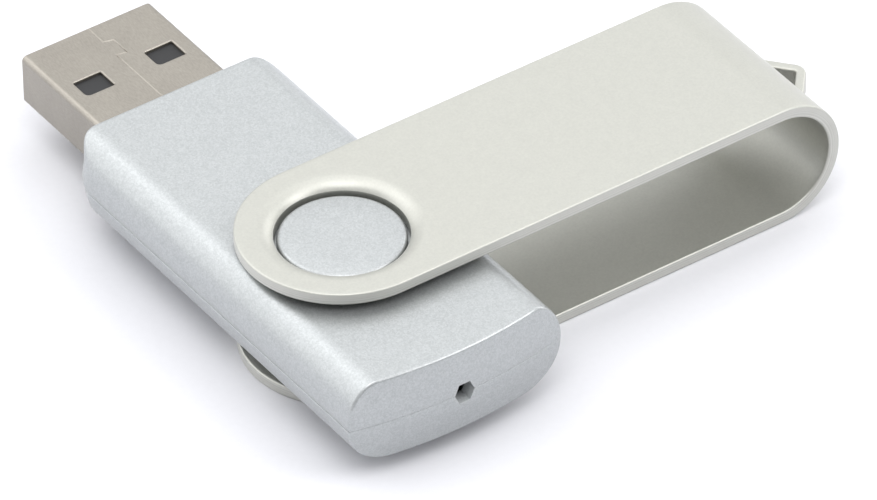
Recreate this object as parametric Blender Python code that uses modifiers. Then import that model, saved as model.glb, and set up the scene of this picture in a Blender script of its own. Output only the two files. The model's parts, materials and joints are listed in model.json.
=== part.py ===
"""Swivel-cover USB flash drive.

The plug points to -X, the tail to +X and the cover is swung a quarter turn out to +Y.
The lower arm of the cover stands on the ground plane. Every size below is in millimetres.
"""
import math

import bmesh
import bpy
from mathutils import Matrix

for old in list(bpy.data.objects):
    bpy.data.objects.remove(old, do_unlink=True)

MM = 0.001

# Plug, a standard type A plug
PLUG_W = 12.0
PLUG_H = 4.5
PLUG_OUT = 11.9
PLUG_IN = 7.0
PLUG_SHEET = 0.3
PLUG_CORNER = 0.55
PLUG_FIT = 0.1
WINDOW_W = 2.5
WINDOW_L = 2.0
WINDOW_FROM_TIP = 5.1
WINDOW_PITCH = 6.6
TAB_OUT = 2.2
TAB_RISE = 0.6
INSULATOR_SET = 0.5
INSULATOR_GAP = 0.05
TONGUE_T = 1.95
NOSE = 0.45
CONTACT_W = 1.0
CONTACT_T = 0.25
CONTACT_GAP = 0.05
CONTACT_LAP = 2.2
INNER_CONTACT_Y = 1.0
OUTER_CONTACT_Y = 3.5
INNER_CONTACT_SET = 2.6
OUTER_CONTACT_SET = 1.6

# Housing
PIVOT_TO_FRONT = 23.4
PIVOT_TO_TAIL = 16.1
BODY_W = 19.4
WALL = 1.2
ROOF_GAP = 0.35
SIDE_R = 3.2
FRONT_CORNER_R = 3.6
TAIL_PLAN_R = 44.0
TAIL_CORNER_R = 1.6
TAIL_SIDE_R = 9.0
TAIL_BAND = 0.25
SEAM_LIP_H = 0.6
SEAM_LIP_GAP = 0.1
RIB_L = 1.0
RIB_W = 0.8
RIB_FROM_END = 1.2
BAR_L = 1.2
BAR_W = 8.0
HEX_W = 1.8
HEX_H = 1.74
HEX_FLAT = 1.0

# Swivel cover
SHEET = 1.0
COVER_W = 16.4
TIP_ROOM = 4.3
STANDOFF = 0.65
BEAR_GAP = 0.08
LIP_R = 0.75
COLLAR_WALL = 0.65
COLLAR_FLARE = 0.3
COLLAR_LAP = 0.3

# Pivot buttons
BUTTON_R = 4.8
BUTTON_SINK = 0.9
BUTTON_ROUND = 0.2
PIVOT_GAP = 0.3

# Lanyard eye
EYE_OUT = 2.4
EYE_BAND = 2.0
EYE_THICK = 0.95
EYE_LEAN = math.radians(50.0)
EYE_ROUND = 0.55
EYE_KERF = 0.2
EYE_ROOT = 0.6
EYE_SLOT_END = 0.1

# Board and the pieces on it
BOARD_T = 1.0
BOARD_SIDE_GAP = 1.0
BOARD_FRONT_GAP = 0.4
BOARD_END_GAP = 0.6
BOARD_GAP = 0.1
BOARD_NECK = 2.0
SOLDER = 0.05
PIECE_GAP = 1.6
FLASH_L = 18.4
FLASH_W = 12.0
FLASH_T = 1.0
FLASH_LEAD_END = 0.25
CONTROLLER_W = 7.0
CONTROLLER_T = 1.4
CONTROLLER_LEAD_END = 0.75
CONTROLLER_FROM_MID = 4.0
LEAD_PITCH = 0.5
LEAD_W = 0.22
LEAD_T = 0.16
LEAD_REACH = 0.8
CRYSTAL_L = 5.0
CRYSTAL_W = 3.2
CRYSTAL_T = 1.1
CRYSTAL_Y = 3.6
REGULATOR_L = 2.9
REGULATOR_W = 1.3
REGULATOR_T = 1.1
REGULATOR_Y = 3.8
LAMP_L = 1.2
LAMP_W = 2.0
LAMP_T = 1.0
CHIP_L = 1.6
CHIP_W = 0.8
CAPACITOR_T = 0.8
RESISTOR_T = 0.45
CHIP_EDGE = 0.1

# Sizes that follow from the ones above
HALF_H = PLUG_H / 2 + ROOF_GAP + WALL
HALF_W = BODY_W / 2
COVER_H = 2 * (HALF_H + STANDOFF + SHEET)
MID = COVER_H / 2
TIP_X = -(PIVOT_TO_FRONT + PLUG_OUT)
PLUG_BACK = -PIVOT_TO_FRONT + PLUG_IN
COVER_REACH = -TIP_X + TIP_ROOM + SHEET
BEND_R = MID
BEND_S = COVER_REACH - BEND_R
HOLE_R = BUTTON_R + PIVOT_GAP
EYE_TIP = COVER_REACH + EYE_OUT
TAIL_SAG = HALF_W ** 2 / (2 * TAIL_PLAN_R)
TAIL_IN = PIVOT_TO_TAIL - TAIL_SAG - WALL
PAST_TAIL = PIVOT_TO_TAIL + WALL
CONTACT_TOP = MID + PLUG_H / 2 - PLUG_SHEET - TONGUE_T
BOARD_TOP = CONTACT_TOP - CONTACT_T
BOARD_LOW = BOARD_TOP - BOARD_T
BOARD_W = BODY_W - 2 * (WALL + BOARD_SIDE_GAP)
BOARD_X0 = PLUG_BACK + BOARD_FRONT_GAP
BOARD_X1 = TAIL_IN - BOARD_END_GAP

# The ground point below the middle of the bounding box is the world origin
CENTRE_X = (PIVOT_TO_TAIL + TIP_X) / 2
CENTRE_Y = (EYE_TIP - HALF_W) / 2

parts = bpy.data.collections.new("usb_flash_drive")
cutters = bpy.data.collections.new("cutters")
bpy.context.scene.collection.children.link(parts)
bpy.context.scene.collection.children.link(cutters)

UPRIGHT = Matrix.Identity(4)
ALONG_X = Matrix(((0, 0, 1, 0), (1, 0, 0, 0), (0, 1, 0, 0), (0, 0, 0, 1)))
ALONG_Y = Matrix(((1, 0, 0, 0), (0, 0, -1, 0), (0, 1, 0, 0), (0, 0, 0, 1)))
AT_MID = (0, 0, MID)


def material(name, rgb, roughness, metallic):
    mat = bpy.data.materials.new(name)
    mat.use_nodes = True
    shader = mat.node_tree.nodes["Principled BSDF"]
    shader.inputs["Base Color"].default_value = (*rgb, 1.0)
    shader.inputs["Roughness"].default_value = roughness
    shader.inputs["Metallic"].default_value = metallic
    return mat


def finish_mesh(mesh):
    bm = bmesh.new()
    bm.from_mesh(mesh)
    bmesh.ops.remove_doubles(bm, verts=bm.verts, dist=1e-7)
    bmesh.ops.recalc_face_normals(bm, faces=bm.faces)
    bm.to_mesh(mesh)
    bm.free()
    mesh.shade_smooth()
    mesh.set_sharp_from_angle(angle=math.radians(35))


def prism(name, outlines, low, high, turn=UPRIGHT, shift=(0, 0, 0)):
    """Closed flat outlines, the later ones holes, pulled from low to high."""
    curve = bpy.data.curves.new(name, "CURVE")
    curve.dimensions = "2D"
    curve.fill_mode = "BOTH"
    curve.extrude = (high - low) / 2 * MM
    for outline in outlines:
        spline = curve.splines.new("POLY")
        spline.points.add(len(outline) - 1)
        for point, (u, v) in zip(spline.points, outline):
            point.co = (u * MM, v * MM, 0, 1)
        spline.use_cyclic_u = True
    drawn = bpy.data.objects.new(name, curve)
    mesh = bpy.data.meshes.new_from_object(drawn)
    bpy.data.objects.remove(drawn, do_unlink=True)
    bpy.data.curves.remove(curve)
    mesh.name = name
    mesh.transform(Matrix.Translation((0, 0, (low + high) / 2 * MM)))
    mesh.transform(turn)
    mesh.transform(Matrix.Translation([c * MM for c in shift]))
    finish_mesh(mesh)
    return bpy.data.objects.new(name, mesh)


def block(name, x0, x1, y0, y1, z0, z1):
    """Box between two corners, with its origin in its middle."""
    bm = bmesh.new()
    bmesh.ops.create_cube(bm, size=MM)
    bmesh.ops.scale(bm, vec=(x1 - x0, y1 - y0, z1 - z0), verts=bm.verts)
    mesh = bpy.data.meshes.new(name)
    bm.to_mesh(mesh)
    bm.free()
    ob = bpy.data.objects.new(name, mesh)
    ob.location = ((x0 + x1) / 2 * MM, (y0 + y1) / 2 * MM, (z0 + z1) / 2 * MM)
    return ob


def lathe(name, profile, closed, steps=72):
    """Half profile at +X turned about the upright axis."""
    mesh = bpy.data.meshes.new(name)
    edges = [(i, i + 1) for i in range(len(profile) - 1)]
    if closed:
        edges.append((len(profile) - 1, 0))
    mesh.from_pydata([(r * MM, 0, z * MM) for r, z in profile], edges, [])
    ob = bpy.data.objects.new(name, mesh)
    turn = ob.modifiers.new("turn", "SCREW")
    turn.axis = "Z"
    turn.angle = math.tau
    turn.steps = steps
    turn.render_steps = steps
    turn.use_merge_vertices = True
    turn.merge_threshold = 1e-7
    turn.use_normal_calculate = True
    turn.use_smooth_shade = True
    bpy.context.scene.collection.objects.link(ob)
    bpy.context.view_layer.update()
    seen = ob.evaluated_get(bpy.context.evaluated_depsgraph_get())
    turned = bpy.data.meshes.new_from_object(seen)
    bpy.data.objects.remove(ob, do_unlink=True)
    turned.name = name
    finish_mesh(turned)
    return bpy.data.objects.new(name, turned)


def arc(cu, cv, radius, start, end, steps):
    angles = [math.radians(start + (end - start) * i / steps) for i in range(steps + 1)]
    return [(cu + radius * math.cos(a), cv + radius * math.sin(a)) for a in angles]


def rounded_box_outline(half_u, half_v, radius, steps=6):
    out = []
    for su, sv, start in ((1, 1, 0), (-1, 1, 90), (-1, -1, 180), (1, -1, 270)):
        out += arc(su * (half_u - radius), sv * (half_v - radius), radius, start, start + 90, steps)
    return out


def cut(target, tool, operation="DIFFERENCE"):
    cutters.objects.link(tool)
    tool.hide_render = True
    tool.display_type = "WIRE"
    mod = target.modifiers.new(tool.name, "BOOLEAN")
    mod.operation = operation
    mod.solver = "EXACT"
    mod.object = tool


def join(target, tool):
    cut(target, tool, "UNION")


def place(ob, mat):
    parts.objects.link(ob)
    ob.data.materials.clear()
    ob.data.materials.append(mat)


ALUMINIUM = material("satin_anodised_aluminium", (0.74, 0.745, 0.70), 0.42, 0.85)
SILVER_PAINT = material("silver_painted_plastic", (0.66, 0.69, 0.71), 0.45, 0.35)
NICKEL = material("nickel_plated_steel", (0.48, 0.45, 0.41), 0.33, 1.0)
BLACK_PLASTIC = material("black_plastic", (0.055, 0.06, 0.068), 0.5, 0.0)
GOLD = material("gold_plated_contact", (0.80, 0.60, 0.24), 0.25, 1.0)
GREEN_BOARD = material("green_circuit_board", (0.02, 0.16, 0.06), 0.45, 0.0)
CHIP_RESIN = material("chip_resin", (0.03, 0.03, 0.032), 0.55, 0.0)
CRYSTAL_CAN = material("crystal_can", (0.62, 0.62, 0.60), 0.3, 1.0)
LAMP_RESIN = material("lamp_resin", (0.75, 0.78, 0.80), 0.2, 0.0)
CAPACITOR_BODY = material("capacitor_ceramic", (0.42, 0.30, 0.18), 0.5, 0.0)
RESISTOR_BODY = material("resistor_ceramic", (0.05, 0.05, 0.055), 0.5, 0.0)


# Housing shells, two mouldings that meet half way up

def section_outline(inset, side, base):
    """Half of the barrel section, flat on the parting plane, on the upper or lower side."""
    wide = HALF_W - inset
    high = HALF_H - inset
    radius = SIDE_R - inset
    out = [(wide, base)]
    out += arc(wide - radius, high - radius, radius, 0, 90, 10)
    out += arc(-wide + radius, high - radius, radius, 90, 180, 10)
    out.append((-wide, base))
    return [(u, v * side) for u, v in out]


def plan_outline(inset):
    """Housing seen from above: rounded front corners, and a bowed tail with rounded corners."""
    front = -PIVOT_TO_FRONT + inset
    wide = HALF_W - inset
    nose_r = FRONT_CORNER_R - inset
    bow_r = TAIL_PLAN_R - inset
    bow_x = PIVOT_TO_TAIL - TAIL_PLAN_R
    corner_r = max(TAIL_CORNER_R - inset, TAIL_CORNER_R / 8)
    corner_y = wide - corner_r
    corner_x = bow_x + math.sqrt((bow_r - corner_r) ** 2 - corner_y ** 2)
    meet = math.degrees(math.atan2(corner_y, corner_x - bow_x))
    out = arc(bow_x, 0, bow_r, -meet, meet, 16)
    out += arc(corner_x, corner_y, corner_r, meet, 90, 6)[1:]
    out += arc(front + nose_r, wide - nose_r, nose_r, 90, 180, 10)
    out += arc(front + nose_r, -wide + nose_r, nose_r, 180, 270, 10)
    out += arc(corner_x, -corner_y, corner_r, -90, -meet, 6)[:-1]
    return out


def tail_bulge(name):
    """Large egg whose end leans the tail face in above and below its middle band."""
    long = PIVOT_TO_FRONT + PIVOT_TO_TAIL
    end = PIVOT_TO_TAIL + TAIL_BAND
    bm = bmesh.new()
    bmesh.ops.create_uvsphere(bm, u_segments=192, v_segments=96, radius=1.0)
    mesh = bpy.data.meshes.new(name)
    bm.to_mesh(mesh)
    bm.free()
    across = math.sqrt(TAIL_PLAN_R * long)
    upright = math.sqrt(TAIL_SIDE_R * long)
    grow = Matrix.Diagonal((long * MM, across * MM, upright * MM, 1))
    mesh.transform(Matrix.Translation(((end - long) * MM, 0, MID * MM)) @ grow)
    mesh.shade_smooth()
    return bpy.data.objects.new(name, mesh)


def shell(name, side):
    tag = name + "_"
    ahead = -PIVOT_TO_FRONT - WALL
    ob = prism(name, [section_outline(0, side, 0)], ahead, PAST_TAIL, ALONG_X, AT_MID)
    plan = prism(tag + "plan", [plan_outline(0)], -COVER_H, COVER_H, UPRIGHT, AT_MID)
    cut(ob, plan, "INTERSECT")
    cut(ob, tail_bulge(tag + "tail"), "INTERSECT")

    # Pivot button standing on the flat outer face
    face = HALF_H + SHEET + STANDOFF - BUTTON_SINK
    root = HALF_H - WALL / 2
    rim = arc(BUTTON_R - BUTTON_ROUND, face - BUTTON_ROUND, BUTTON_ROUND, 90, 0, 4)
    button = lathe(tag + "button", [(0, face)] + rim + [(BUTTON_R, root), (0, root)], False)
    button.data.transform(Matrix.Scale(side, 4, (0, 0, 1)))
    if side < 0:
        button.data.flip_normals()
    button.data.transform(Matrix.Translation((0, 0, MID * MM)))
    join(ob, button)

    # Hollow inside
    hollow = prism(tag + "hollow", [section_outline(WALL, side, -WALL)], ahead, PAST_TAIL, ALONG_X, AT_MID)
    inner = prism(tag + "hollow_plan", [plan_outline(WALL)], -COVER_H, COVER_H, UPRIGHT, AT_MID)
    cut(hollow, inner, "INTERSECT")
    cut(ob, hollow)

    # Seam lip of the lower shell in the rebate of the upper one
    if side < 0:
        ring = [plan_outline(WALL / 2 + SEAM_LIP_GAP), plan_outline(WALL - SEAM_LIP_GAP / 2)]
        join(ob, prism(tag + "seam_lip", ring, -SEAM_LIP_H, SEAM_LIP_H, UPRIGHT, AT_MID))
    else:
        rebate = [plan_outline(WALL / 2)]
        top = SEAM_LIP_H + SEAM_LIP_GAP
        cut(ob, prism(tag + "rebate", rebate, -WALL, top, UPRIGHT, AT_MID))

    # Ribs that hold the board, and a bar that holds the plug
    ceiling = MID + side * (HALF_H - WALL / 2)
    stop = BOARD_TOP + BOARD_GAP if side > 0 else BOARD_LOW - BOARD_GAP
    low, high = sorted((ceiling, stop))
    edge = BOARD_W / 2 - BOARD_GAP
    near = BOARD_X0 + BOARD_NECK + RIB_FROM_END
    for x in (near, BOARD_X1 - RIB_FROM_END):
        for sign in (-1, 1):
            y0, y1 = sorted((sign * (edge - RIB_W), sign * edge))
            join(ob, block(tag + "rib", x - RIB_L / 2, x + RIB_L / 2, y0, y1, low, high))
    low, high = sorted((ceiling, MID + side * (PLUG_H / 2 + PLUG_FIT)))
    bar_x = PLUG_BACK - PLUG_IN / 2 + WALL / 2
    join(ob, block(tag + "bar", bar_x - BAR_L / 2, bar_x + BAR_L / 2, -BAR_W / 2, BAR_W / 2, low, high))

    # Mouth for the plug and half of the lamp hole
    mouth = rounded_box_outline(PLUG_W / 2 + PLUG_FIT, PLUG_H / 2 + PLUG_FIT, PLUG_CORNER)
    behind = -PIVOT_TO_FRONT + 1.5 * WALL
    cut(ob, prism(tag + "mouth", [mouth], ahead, behind, ALONG_X, AT_MID))
    hexagon = [(HEX_W / 2, 0), (HEX_FLAT / 2, HEX_H / 2), (-HEX_FLAT / 2, HEX_H / 2)]
    hexagon += [(-u, -v) for u, v in hexagon]
    cut(ob, prism(tag + "lamp_hole", [hexagon], TAIL_IN - WALL, PAST_TAIL, ALONG_X, AT_MID))
    place(ob, SILVER_PAINT)


shell("upper_shell", 1)
shell("lower_shell", -1)


# Swivel cover, a bent strip with drawn pivot collars and a lanced eye

inner_r = BEND_R - SHEET
far = -COVER_W
strip = [(far, 0)] + arc(BEND_S, MID, BEND_R, -90, 90, 36) + [(far, COVER_H), (far, COVER_H - SHEET)]
strip += arc(BEND_S, MID, inner_r, 90, -90, 36) + [(far, SHEET)]
cover = prism("swivel_cover", [strip], -COVER_W, COVER_W, ALONG_X)
cover_plan = arc(0, 0, COVER_W / 2, 180, 360, 48)
cover_plan += [(COVER_W / 2, COVER_REACH + SHEET), (-COVER_W / 2, COVER_REACH + SHEET)]
cut(cover, prism("cover_plan", [cover_plan], -SHEET, COVER_H + SHEET), "INTERSECT")

# Each pivot hole has a collar drawn inwards, which bears on the housing
lip_drop = STANDOFF - BEAR_GAP
lip_sweep = math.degrees(math.acos(1 - lip_drop / LIP_R))
flat_r = HOLE_R + LIP_R * math.sin(math.radians(lip_sweep))
ring_r = flat_r + 2 * COLLAR_LAP
under = COVER_H - SHEET
hole = arc(0, 0, flat_r + COLLAR_LAP, 0, 355, 71)
cut(cover, prism("pivot_hole", [hole], -SHEET, COVER_H + SHEET))
collar = [(ring_r, COVER_H)]
collar += arc(flat_r, COVER_H - LIP_R, LIP_R, 90, 90 + lip_sweep, 6)
collar += [(HOLE_R, under - lip_drop), (HOLE_R + COLLAR_WALL, under - lip_drop)]
collar += arc(HOLE_R + COLLAR_WALL + COLLAR_FLARE, under - COLLAR_FLARE, COLLAR_FLARE, 180, 90, 4)
collar += [(ring_r, under)]
join(cover, lathe("upper_collar", collar, True))
join(cover, lathe("lower_collar", [(r, COVER_H - z) for r, z in collar], True))

# The eye is a band pushed out of a slot in the bend
half_band = EYE_THICK / 2
bend_mid = EYE_ROUND + half_band
round_s = EYE_TIP - bend_mid - half_band
root_s = COVER_REACH - SHEET * EYE_ROOT
root_x = (round_s + bend_mid / math.sin(EYE_LEAN) - root_s) * math.tan(EYE_LEAN)
sweep = 90 - math.degrees(EYE_LEAN)
turn_in = arc(0, round_s, bend_mid, sweep, 180 - sweep, 12)
path = [(root_x, root_s)] + turn_in + [(-root_x, root_s)]
leg = (math.sin(EYE_LEAN), math.cos(EYE_LEAN))
sides = [leg] + [(u / bend_mid, (v - round_s) / bend_mid) for u, v in turn_in] + [(-leg[0], leg[1])]
band = [(u + nu * half_band, v + nv * half_band) for (u, v), (nu, nv) in zip(path, sides)]
band += [(u - nu * half_band, v - nv * half_band) for (u, v), (nu, nv) in zip(path[::-1], sides[::-1])]
slot_x = root_x - half_band * math.sin(EYE_LEAN) - EYE_SLOT_END
slot_z = EYE_BAND / 2 + EYE_KERF
slot_in = COVER_REACH - 2 * SHEET
cut(cover, block("eye_slot", -slot_x, slot_x, slot_in, EYE_TIP, MID - slot_z, MID + slot_z))
join(cover, prism("eye_band", [band], MID - EYE_BAND / 2, MID + EYE_BAND / 2))
place(cover, ALUMINIUM)


# Plug shell, a folded tube with four latch windows and two solder tabs

tube = [rounded_box_outline(PLUG_W / 2, PLUG_H / 2, PLUG_CORNER)]
bore_w = PLUG_W / 2 - PLUG_SHEET
bore_h = PLUG_H / 2 - PLUG_SHEET
bore_r = PLUG_CORNER - PLUG_SHEET
tube.append(rounded_box_outline(bore_w, bore_h, bore_r))
plug = prism("plug_shell", tube, TIP_X, PLUG_BACK, ALONG_X, AT_MID)
for y in (-WINDOW_PITCH / 2, WINDOW_PITCH / 2):
    x0 = TIP_X + WINDOW_FROM_TIP
    x1 = x0 + WINDOW_L
    for wall in (MID - PLUG_H / 2, MID + PLUG_H / 2):
        z0 = wall - 2 * PLUG_SHEET
        z1 = wall + 2 * PLUG_SHEET
        cut(plug, block("window", x0, x1, y - WINDOW_W / 2, y + WINDOW_W / 2, z0, z1))
for sign in (-1, 1):
    y0, y1 = sorted((sign * bore_w, sign * PLUG_W / 2))
    back = PLUG_BACK - PLUG_SHEET
    join(plug, block("tab", back, PLUG_BACK + TAB_OUT, y0, y1, BOARD_LOW, BOARD_TOP + TAB_RISE))
place(plug, NICKEL)

# Plug insulator, a thin tongue under the upper face with a full block behind it
in_w = bore_w - INSULATOR_GAP
tongue_z = bore_h - TONGUE_T
heel_z = -bore_h + INSULATOR_GAP
nose_x = TIP_X + INSULATOR_SET
side_view = [(nose_x, bore_h), (PLUG_BACK, bore_h), (PLUG_BACK, heel_z), (-PIVOT_TO_FRONT, heel_z)]
side_view += [(-PIVOT_TO_FRONT, tongue_z), (nose_x + NOSE, tongue_z), (nose_x, tongue_z + NOSE)]
insulator = prism("plug_insulator", [side_view], -PLUG_W, PLUG_W, ALONG_Y, AT_MID)
end_view = rounded_box_outline(in_w, bore_h, bore_r)
section = prism("insulator_section", [end_view], TIP_X, PLUG_BACK + WALL, ALONG_X, AT_MID)
cut(insulator, section, "INTERSECT")
contact_low = CONTACT_TOP - CONTACT_T
channel_x = -PIVOT_TO_FRONT - CONTACT_W
for y in (-OUTER_CONTACT_Y, -INNER_CONTACT_Y, INNER_CONTACT_Y, OUTER_CONTACT_Y):
    half = CONTACT_W / 2 + CONTACT_GAP
    low = contact_low - CONTACT_GAP
    cut(insulator, block("channel", channel_x, PLUG_BACK + WALL, y - half, y + half, low, CONTACT_TOP))
place(insulator, BLACK_PLASTIC)

# Four contacts, from the tongue to the board
rows = ((-OUTER_CONTACT_Y, OUTER_CONTACT_SET), (-INNER_CONTACT_Y, INNER_CONTACT_SET))
rows += ((INNER_CONTACT_Y, INNER_CONTACT_SET), (OUTER_CONTACT_Y, OUTER_CONTACT_SET))
for number, (y, back) in enumerate(rows, 1):
    x1 = BOARD_X0 + CONTACT_LAP
    y0 = y - CONTACT_W / 2
    y1 = y + CONTACT_W / 2
    place(block("contact_" + str(number), TIP_X + back, x1, y0, y1, contact_low, CONTACT_TOP), GOLD)


# Circuit board, narrow between the solder tabs and wide behind them

neck = bore_w - BOARD_GAP
shoulder = PLUG_BACK + TAB_OUT + BOARD_GAP
outline = [(BOARD_X0, -neck), (shoulder, -neck), (shoulder, -BOARD_W / 2), (BOARD_X1, -BOARD_W / 2)]
outline += [(u, -v) for u, v in outline[::-1]]
place(prism("circuit_board", [outline], BOARD_LOW, BOARD_TOP), GREEN_BOARD)


def on_board(name, mat, x, y, long, wide, high, above=True, edge=0.0):
    """Small moulded piece soldered on the upper or the lower side of the board."""
    low = BOARD_TOP + SOLDER if above else BOARD_LOW - SOLDER - high
    ob = block(name, x - long / 2, x + long / 2, y - wide / 2, y + wide / 2, low, low + high)
    if edge:
        soft = ob.modifiers.new("edge", "BEVEL")
        soft.width = edge * MM
        soft.segments = 1
        soft.limit_method = "ANGLE"
    place(ob, mat)
    return ob


def leads(chip, x, y, long, wide, high, end, quarter, above):
    """Row of gull-wing leads along one side of a chip, as many as the side takes, joined to its body."""
    count = int((wide - 2 * end) / LEAD_PITCH + 0.01) + 1
    step = high / 2 - LEAD_T / 2 + SOLDER / 2
    knee = LEAD_REACH * 0.4
    wing = [(-LEAD_T, step), (knee, step), (knee, 0), (LEAD_REACH, 0), (LEAD_REACH, LEAD_T)]
    wing += [(knee + LEAD_T, LEAD_T), (knee + LEAD_T, step + LEAD_T), (-LEAD_T, step + LEAD_T)]
    wing = [(u, v if above else -v) for u, v in wing]
    row = prism(chip.name + "_leads_" + str(quarter), [wing], -LEAD_W / 2, LEAD_W / 2, ALONG_Y)
    first = -(count - 1) / 2 * LEAD_PITCH
    row.data.transform(Matrix.Translation((long / 2 * MM, first * MM, 0)))
    many = row.modifiers.new("row", "ARRAY")
    many.count = count
    many.use_relative_offset = False
    many.use_constant_offset = True
    many.constant_offset_displace = (0, LEAD_PITCH * MM, 0)
    foot = BOARD_TOP + SOLDER / 2 if above else BOARD_LOW - SOLDER / 2
    row.rotation_euler.z = quarter * math.pi / 2
    row.location = (x * MM, y * MM, foot * MM)
    join(chip, row)


middle = (shoulder + BOARD_X1) / 2
flash = on_board("flash_chip", CHIP_RESIN, middle, 0, FLASH_L, FLASH_W, FLASH_T, False, CHIP_EDGE)
for quarter in (0, 2):
    leads(flash, middle, 0, FLASH_L, FLASH_W, FLASH_T, FLASH_LEAD_END, quarter, False)
brain_x = middle - CONTROLLER_FROM_MID
brain_w = CONTROLLER_W
brain = on_board("controller_chip", CHIP_RESIN, brain_x, 0, brain_w, brain_w, CONTROLLER_T, True, CHIP_EDGE)
for quarter in range(4):
    leads(brain, brain_x, 0, brain_w, brain_w, CONTROLLER_T, CONTROLLER_LEAD_END, quarter, True)
ahead_x = brain_x - brain_w / 2 - LEAD_REACH - CHIP_L
behind_x = brain_x + brain_w / 2 + PIECE_GAP
crystal_x = behind_x + CRYSTAL_L / 2
on_board("crystal", CRYSTAL_CAN, crystal_x, CRYSTAL_Y, CRYSTAL_L, CRYSTAL_W, CRYSTAL_T, True, CHIP_EDGE)
regulator_x = behind_x + REGULATOR_L / 2
size = (REGULATOR_L, REGULATOR_W, REGULATOR_T)
on_board("regulator", CHIP_RESIN, regulator_x, -REGULATOR_Y, *size, True, CHIP_EDGE)
on_board("status_lamp", LAMP_RESIN, BOARD_X1 - LAMP_L / 2, 0, LAMP_L, LAMP_W, LAMP_T, True, CHIP_EDGE)
row_x = regulator_x + REGULATOR_L / 2 + PIECE_GAP
spots = ((ahead_x, -CRYSTAL_Y), (ahead_x, CRYSTAL_Y), (behind_x + CHIP_L / 2, 0))
spots += ((row_x, -REGULATOR_Y + CHIP_W), (row_x, -REGULATOR_Y - CHIP_W))
for number, (x, y) in enumerate(spots, 1):
    on_board("capacitor_" + str(number), CAPACITOR_BODY, x, y, CHIP_L, CHIP_W, CAPACITOR_T)
row_x = crystal_x + CRYSTAL_L / 2 + PIECE_GAP
spots = ((ahead_x, -CHIP_L), (ahead_x, CHIP_L), (behind_x + CHIP_L + PIECE_GAP, 0), (row_x, CRYSTAL_Y))
for number, (x, y) in enumerate(spots, 1):
    on_board("resistor_" + str(number), RESISTOR_BODY, x, y, CHIP_L, CHIP_W, RESISTOR_T)


# Everything hangs on an empty that stands on the pivot axis
pivot = bpy.data.objects.new("pivot", None)
pivot.location = (-CENTRE_X * MM, -CENTRE_Y * MM, 0)
for ob in list(parts.objects) + list(cutters.objects):
    ob.parent = pivot
parts.objects.link(pivot)
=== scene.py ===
import json
import math

import bmesh
import bpy
import numpy as np
from mathutils import Matrix, Vector


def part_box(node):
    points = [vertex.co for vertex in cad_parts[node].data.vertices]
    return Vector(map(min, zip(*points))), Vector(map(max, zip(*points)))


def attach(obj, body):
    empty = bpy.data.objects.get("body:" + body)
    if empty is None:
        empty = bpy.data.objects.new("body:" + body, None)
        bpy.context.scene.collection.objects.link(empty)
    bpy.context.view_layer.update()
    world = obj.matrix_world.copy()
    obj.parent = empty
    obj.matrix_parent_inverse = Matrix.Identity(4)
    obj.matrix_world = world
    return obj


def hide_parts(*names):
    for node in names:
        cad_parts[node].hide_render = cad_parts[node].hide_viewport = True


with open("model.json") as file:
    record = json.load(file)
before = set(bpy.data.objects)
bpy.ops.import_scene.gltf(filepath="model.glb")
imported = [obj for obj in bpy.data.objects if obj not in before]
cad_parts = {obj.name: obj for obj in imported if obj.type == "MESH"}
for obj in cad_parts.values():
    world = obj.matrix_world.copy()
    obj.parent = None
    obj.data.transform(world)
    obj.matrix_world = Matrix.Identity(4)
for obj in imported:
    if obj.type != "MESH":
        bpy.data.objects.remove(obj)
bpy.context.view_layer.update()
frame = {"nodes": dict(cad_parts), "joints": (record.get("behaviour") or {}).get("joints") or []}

nodes = frame["nodes"]


# Circuit board: glass-epoxy laminate 1 mm thick, with copper tracks under a green solder mask.
# It is routed to its outline and lies between the ribs of the two shells.

# A millimetre in metres; sizes here and below are in millimetres
MM = 0.001


def linear(code):
    """sRGB hex colour as linear RGBA."""
    shares = [int(code[i:i + 2], 16) / 255 for i in (1, 3, 5)]
    return [c / 12.92 if c <= 0.04045 else ((c + 0.055) / 1.055) ** 2.4 for c in shares] + [1.0]


def wire(tree, node, sockets):
    """Gives sockets their values, or their links where the value is another node's output.
    Sockets go by name, or by number where a node has several of one name."""
    for key, value in sockets.items():
        if isinstance(value, bpy.types.NodeSocket):
            tree.links.new(value, node.inputs[key])
        else:
            node.inputs[key].default_value = value


def add(tree, kind, sockets, **settings):
    """One node with its settings and its links; gives back its outputs."""
    node = tree.nodes.new(kind)
    for key, value in settings.items():
        setattr(node, key, value)
    wire(tree, node, sockets)
    return node.outputs


def finish(name, sockets):
    """New material with plain values on its shader, and places on the piece in millimetres."""
    made = bpy.data.materials.new(name)
    made.use_nodes = True
    tree = made.node_tree
    shader = tree.nodes["Principled BSDF"]
    wire(tree, shader, sockets)
    place = add(tree, "ShaderNodeTexCoord", {})["Object"]
    mm = add(tree, "ShaderNodeVectorMath", {0: place, "Scale": 1 / MM}, operation="SCALE")["Vector"]
    return made, tree, shader, mm


def dress(node, made):
    """Puts a finish on a piece of the frame."""
    nodes[node].data.materials.clear()
    nodes[node].data.materials.append(made)


TRACK_PITCH = 0.6
TRACK_W = 0.09
TRACK_RUN = 2.6
MASK_GREEN = "#1c5a34"
TRACK_GREEN = "#2f7d4a"

# The mask is glossy, and each track stands up a little under it and shows paler
board_finish, tree, shader, mm = finish("solder_mask_on_glass_epoxy", {"Roughness": 0.35, "IOR": 1.55})
tracks = add(tree, "ShaderNodeTexBrick", {
    "Vector": mm, "Color1": linear(MASK_GREEN), "Color2": linear(MASK_GREEN), "Mortar": linear(TRACK_GREEN),
    "Scale": 1.0, "Mortar Size": TRACK_W, "Mortar Smooth": 0.3, "Brick Width": TRACK_RUN,
    "Row Height": TRACK_PITCH})
bump = add(tree, "ShaderNodeBump", {"Strength": 0.4, "Distance": 0.00003, "Height": tracks["Fac"]})["Normal"]
wire(tree, shader, {"Base Color": tracks["Color"], "Normal": bump})
dress("circuit_board", board_finish)


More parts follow.
